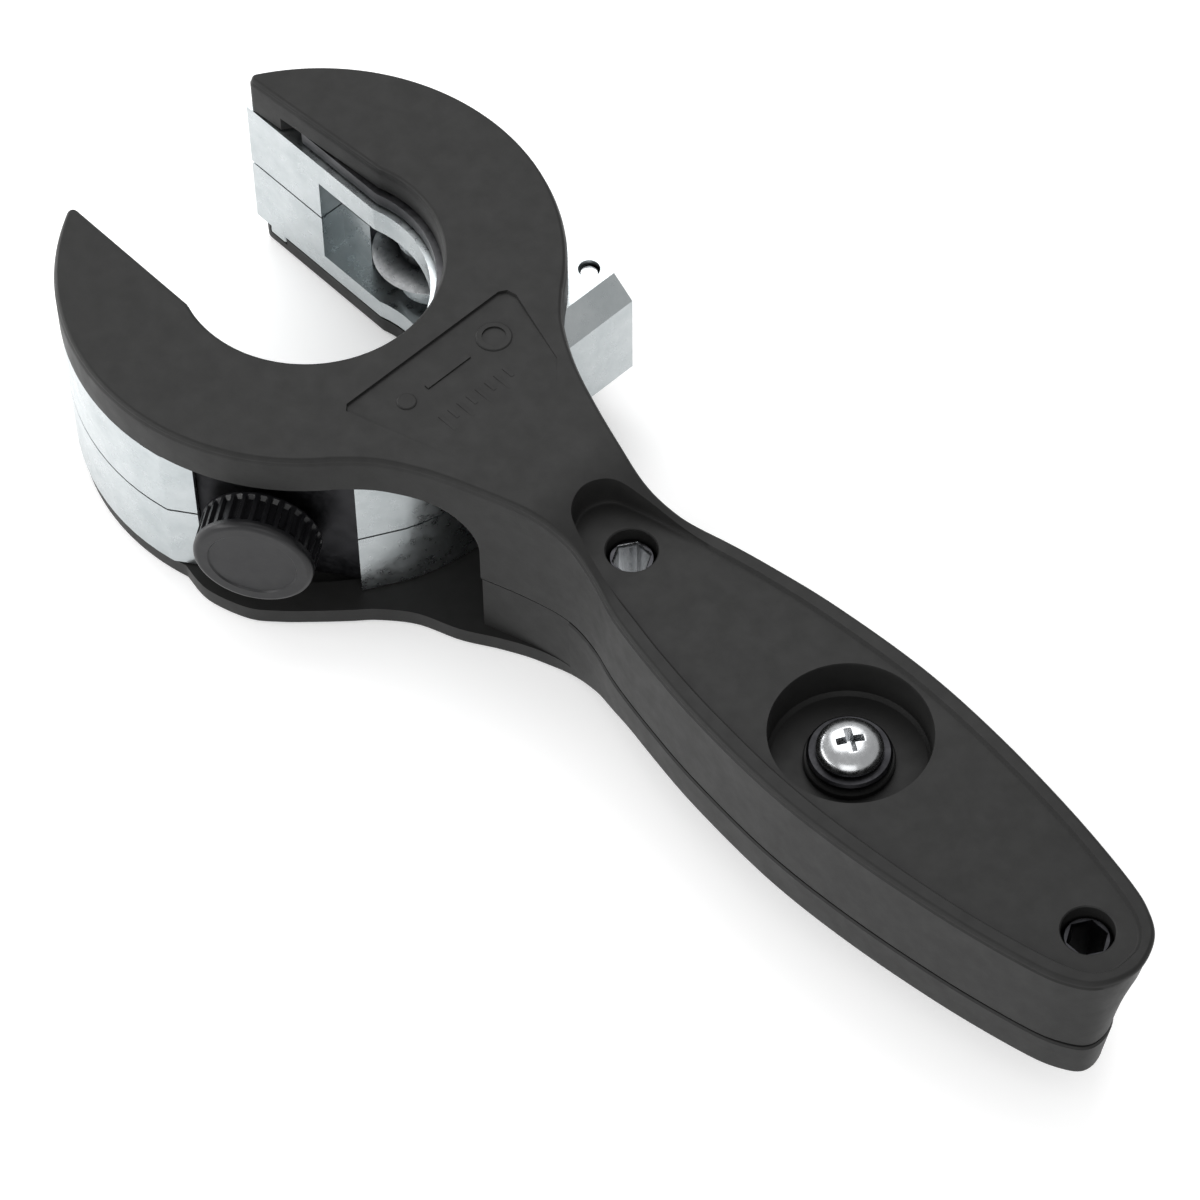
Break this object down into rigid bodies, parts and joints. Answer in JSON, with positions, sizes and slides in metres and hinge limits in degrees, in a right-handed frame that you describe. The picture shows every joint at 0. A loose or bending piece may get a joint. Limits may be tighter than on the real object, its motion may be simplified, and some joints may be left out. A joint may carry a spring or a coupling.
{
  "type": "ratcheting tube cutter",
  "caption": "C-jaw tube cutter: a cutter ring with a feed knob, rollers and a sprung cutting wheel ratchets between two plates at the end of a slim handle.",
  "frame": {"origin": "on the underside of the back plate, 25 mm from the head's turning axis towards the handle, where the tool lies on a bench", "axes": "+X from the jaw to the handle's end, +Y across the tool away from the feed knob, +Z from the back plate up to the front plate"},
  "size_m": [0.1775, 0.0688, 0.0324],
  "materials": {
    "black_plastic": "satin moulded",
    "knob_plastic": "satin moulded",
    "zinc_casting": "bright zinc plating",
    "bright_steel": "satin",
    "tool_steel": "ground",
    "dark_steel": "dark phosphate",
    "black_steel": "black oxide"
  },
  "bodies": {
    "handle": {"front_shell": "black_plastic", "back_shell": "black_plastic", "handle_screw": "bright_steel", "handle_washer": "black_steel", "handle_nut": "bright_steel", "neck_sleeve": "black_steel", "end_sleeve": "black_steel", "pawl_pin_1": "bright_steel", "pawl_pin_2": "bright_steel", "pawl_spring_1": "bright_steel", "pawl_spring_2": "bright_steel"},
    "pawl_a": {"pawl_1": "tool_steel"},
    "pawl_b": {"pawl_2": "tool_steel"},
    "head": {"ring_front": "zinc_casting", "ring_back": "zinc_casting", "ratchet_ring": "dark_steel", "ratchet_screw_1": "bright_steel", "ratchet_screw_2": "bright_steel", "ratchet_screw_3": "bright_steel", "ring_screw_1": "bright_steel", "ring_screw_2": "bright_steel", "ring_screw_3": "bright_steel", "ring_screw_4": "bright_steel", "bearing_plate": "black_steel", "arm_pin": "bright_steel", "arm_spring": "bright_steel"},
    "feed_knob": {"knob": "knob_plastic", "neck_clip": "bright_steel"},
    "carriage": {"roller_carriage": "dark_steel", "feed_stem": "bright_steel", "roller_pin_1": "bright_steel", "roller_pin_2": "bright_steel"},
    "roller_a": {"roller_1": "tool_steel"},
    "roller_b": {"roller_2": "tool_steel"},
    "arm": {"wheel_arm": "zinc_casting", "wheel_axle": "bright_steel"},
    "wheel": {"cutting_wheel": "dark_steel"}
  },
  "joints": [
    {"name": "head_turn", "type": "hinge", "parent": "handle", "child": "head", "pos_m": [-0.025, 0, 0.0147], "axis": [0, 0, 1], "continuous": true},
    {"name": "knob_turn", "type": "hinge", "parent": "head", "child": "feed_knob", "pos_m": [-0.00492, -0.02867, 0.0147], "axis": [-0.5736, 0.8192, 0], "range_deg": [0, 1585]},
    {"name": "carriage_slide", "type": "slide", "parent": "head", "child": "carriage", "axis": [-0.5736, 0.8192, 0], "range_m": [0, 0.011]},
    {"name": "roller_a_spin", "type": "hinge", "parent": "carriage", "child": "roller_a", "pos_m": [-0.019, -0.01728, 0.0147], "axis": [0, 0, 1], "continuous": true},
    {"name": "roller_b_spin", "type": "hinge", "parent": "carriage", "child": "roller_b", "pos_m": [-0.01081, -0.01155, 0.0147], "axis": [0, 0, 1], "continuous": true},
    {"name": "wheel_arm_swing", "type": "hinge", "parent": "head", "child": "arm", "pos_m": [-0.0024, 0.0288, 0.0147], "axis": [0, 0, -1], "range_deg": [0, 3], "stiffness_Nm_per_rad": 1.5, "springref_deg": -2.86, "deforming": ["arm_spring"]},
    {"name": "wheel_spin", "type": "hinge", "parent": "arm", "child": "wheel", "pos_m": [-0.0264, 0.0217, 0.0147], "axis": [0, 0, 1], "continuous": true},
    {"name": "pawl_a_swing", "type": "hinge", "parent": "handle", "child": "pawl_a", "pos_m": [0.00163, 0.01381, 0.0273], "axis": [0, 0, -1], "range_deg": [0, 12], "stiffness_Nm_per_rad": 0.02, "springref_deg": -5.73, "deforming": ["pawl_spring_1"]},
    {"name": "pawl_b_swing", "type": "hinge", "parent": "handle", "child": "pawl_b", "pos_m": [-0.01119, -0.02663, 0.0273], "axis": [0, 0, -1], "range_deg": [0, 12], "stiffness_Nm_per_rad": 0.02, "springref_deg": -5.73, "deforming": ["pawl_spring_2"]}
  ],
  "couplings": [
    {"joint": "knob_turn", "follows": "carriage_slide", "rad_per_m": 2513.3}
  ]
}
